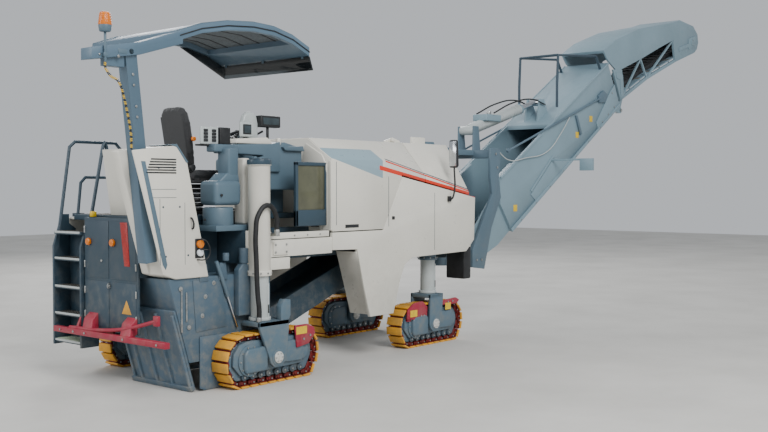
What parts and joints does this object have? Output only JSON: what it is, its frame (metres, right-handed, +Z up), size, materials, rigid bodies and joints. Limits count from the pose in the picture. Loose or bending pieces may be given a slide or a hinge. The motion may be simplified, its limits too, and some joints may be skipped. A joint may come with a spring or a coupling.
{
  "type": "cold planer milling machine",
  "caption": "Compact cold planer with a milling drum, four tracks on lifting legs, an open platform under a canopy and a folding discharge conveyor at the front.",
  "frame": {"origin": "middle of the footprint on the ground, under the tracks", "axes": "+X to the machine's front, where the conveyor points; +Y to its left; +Z up"},
  "size_m": [14.54, 2.32, 5.34],
  "materials": {
    "body_white": "satin",
    "frame_steel": "satin",
    "conveyor_steel": "satin",
    "slate_panel": "satin",
    "track_shoes": "matte",
    "red_guard": "satin",
    "black_rubber": "matte",
    "black_plastic": "matte",
    "engine_casting": "matte",
    "cutter_steel": "worn",
    "ram_rod": "polished",
    "lamp_orange": "gloss",
    "smoked_screen": "gloss",
    "coiled_lead": "matte"
  },
  "bodies": {
    "chassis": {"beacon_cable": "coiled_lead", "column_hose": "black_rubber", "control_console": "frame_steel", "drum_housing": "frame_steel", "engine_block": "engine_casting", "front_column_left": "frame_steel", "front_column_right": "frame_steel", "front_cowl": "body_white", "front_tank": "black_plastic", "handrails": "slate_panel", "hydraulic_tower": "frame_steel", "ladder": "slate_panel", "main_frame": "slate_panel", "mirror": "black_plastic", "pickup_conveyor": "slate_panel", "platform_deck": "slate_panel", "rear_bulkhead": "body_white", "rear_bumper": "red_guard", "rear_cabinet": "slate_panel", "rear_column_left": "body_white", "rear_column_right": "body_white", "rear_cover_right": "body_white", "rear_wall": "body_white", "side_fender_left": "body_white", "side_panel_left": "body_white", "side_panel_right": "body_white", "side_window": "slate_panel", "slew_mount": "slate_panel"},
    "rear_right_leg_body": {"rear_right_leg": "frame_steel", "rear_right_track": "track_shoes", "rear_right_track_frame": "frame_steel"},
    "rear_left_leg_body": {"rear_left_leg": "frame_steel", "rear_left_track": "track_shoes", "rear_left_track_frame": "frame_steel"},
    "front_right_slide": {"front_right_leg_tube": "frame_steel"},
    "front_left_slide": {"front_left_leg_tube": "frame_steel"},
    "front_right_steered": {"front_right_yoke": "frame_steel", "front_right_track": "track_shoes", "front_right_track_frame": "frame_steel"},
    "front_left_steered": {"front_left_yoke": "frame_steel", "front_left_track": "track_shoes", "front_left_track_frame": "frame_steel"},
    "drum": {"milling_drum": "cutter_steel"},
    "right_side_plate": {"side_plate_right": "frame_steel"},
    "left_side_plate": {"side_plate_left": "frame_steel"},
    "scraper_blade": {"scraper": "frame_steel"},
    "hood": {"engine_hood": "body_white"},
    "canopy": {"canopy_frame": "frame_steel", "canopy_visor": "smoked_screen", "beacon": "lamp_orange"},
    "driver_seat": {"seat": "black_plastic"},
    "wheel_body": {"steering_wheel": "black_plastic"},
    "slew": {"slew_bracket": "frame_steel"},
    "lower_half": {"lower_conveyor": "conveyor_steel", "lower_belt": "black_rubber"},
    "upper_half": {"upper_conveyor": "conveyor_steel", "upper_belt": "black_rubber"},
    "ram_barrel": {"lift_ram_barrel": "body_white"},
    "ram_rod_body": {"lift_ram_rod": "ram_rod"}
  },
  "joints": [
    {"name": "rear_right_lift", "type": "slide", "parent": "chassis", "child": "rear_right_leg_body", "axis": [0, 0, 1], "range_m": [-0.2, 0.3], "deforming": ["column_hose"]},
    {"name": "rear_left_lift", "type": "slide", "parent": "chassis", "child": "rear_left_leg_body", "axis": [0, 0, 1], "range_m": [-0.2, 0.3]},
    {"name": "front_right_lift", "type": "slide", "parent": "chassis", "child": "front_right_slide", "axis": [0, 0, 1], "range_m": [-0.2, 0.3]},
    {"name": "front_left_lift", "type": "slide", "parent": "chassis", "child": "front_left_slide", "axis": [0, 0, 1], "range_m": [-0.2, 0.3]},
    {"name": "front_right_steer", "type": "hinge", "parent": "front_right_slide", "child": "front_right_steered", "pos_m": [-2.14, -0.696, 0.66], "axis": [0, 0, 1], "range_deg": [-25, 25]},
    {"name": "front_left_steer", "type": "hinge", "parent": "front_left_slide", "child": "front_left_steered", "pos_m": [-2.14, 0.696, 0.66], "axis": [0, 0, 1], "range_deg": [-25, 25]},
    {"name": "milling_drum_spin", "type": "hinge", "parent": "chassis", "child": "drum", "pos_m": [-5.64, -0.35, 0.5], "axis": [0, 1, 0], "continuous": true},
    {"name": "side_plate_right_lift", "type": "slide", "parent": "chassis", "child": "right_side_plate", "axis": [0, 0, 1], "range_m": [0, 0.3]},
    {"name": "side_plate_left_lift", "type": "slide", "parent": "chassis", "child": "left_side_plate", "axis": [0, 0, 1], "range_m": [0, 0.3]},
    {"name": "scraper_lift", "type": "slide", "parent": "chassis", "child": "scraper_blade", "axis": [-0.2873, 0, 0.9578], "range_m": [0, 0.3]},
    {"name": "engine_hood_hinge", "type": "hinge", "parent": "chassis", "child": "hood", "pos_m": [-2.57, 0, 2.66], "axis": [0, 1, 0], "range_deg": [0, 50]},
    {"name": "canopy_lift", "type": "slide", "parent": "chassis", "child": "canopy", "axis": [-0.1093, 0, 0.994], "range_m": [-0.4, 0], "deforming": ["beacon_cable"]},
    {"name": "seat_swivel", "type": "hinge", "parent": "chassis", "child": "driver_seat", "pos_m": [-5.57, -0.17, 1.76], "axis": [0, 0, 1], "range_deg": [-30, 30]},
    {"name": "steering_wheel_turn", "type": "hinge", "parent": "chassis", "child": "wheel_body", "pos_m": [-4.99, -0.14, 2.58], "axis": [-0.4789, 0, 0.8779], "range_deg": [-540, 540]},
    {"name": "conveyor_slew", "type": "hinge", "parent": "chassis", "child": "slew", "pos_m": [-0.94, 0, 1.1], "axis": [0, 0, 1], "range_deg": [-60, 60]},
    {"name": "conveyor_lift", "type": "hinge", "parent": "slew", "child": "lower_half", "pos_m": [-0.59, 0, 1.06], "axis": [0, -1, 0], "range_deg": [-25, 5]},
    {"name": "conveyor_fold", "type": "hinge", "parent": "lower_half", "child": "upper_half", "pos_m": [3.87, 0, 3.42], "axis": [0, 1, 0], "range_deg": [0, 150]},
    {"name": "lift_ram_pivot", "type": "hinge", "parent": "slew", "child": "ram_barrel", "pos_m": [-0.24, 0, 2.9], "axis": [0, -1, 0], "range_deg": [-31, 7]},
    {"name": "lift_ram_slide", "type": "slide", "parent": "ram_barrel", "child": "ram_rod_body", "axis": [0.9619, 0, 0.2734], "range_m": [-0.17, 0.82]}
  ],
  "couplings": [
    {"joint": "front_left_steer", "follows": "front_right_steer", "ratio": 1},
    {"joint": "steering_wheel_turn", "follows": "front_right_steer", "ratio": 20},
    {"joint": "lift_ram_pivot", "follows": "conveyor_lift", "ratio": 1.2},
    {"joint": "lift_ram_slide", "follows": "conveyor_lift", "m_per_rad": -1.85}
  ]
}
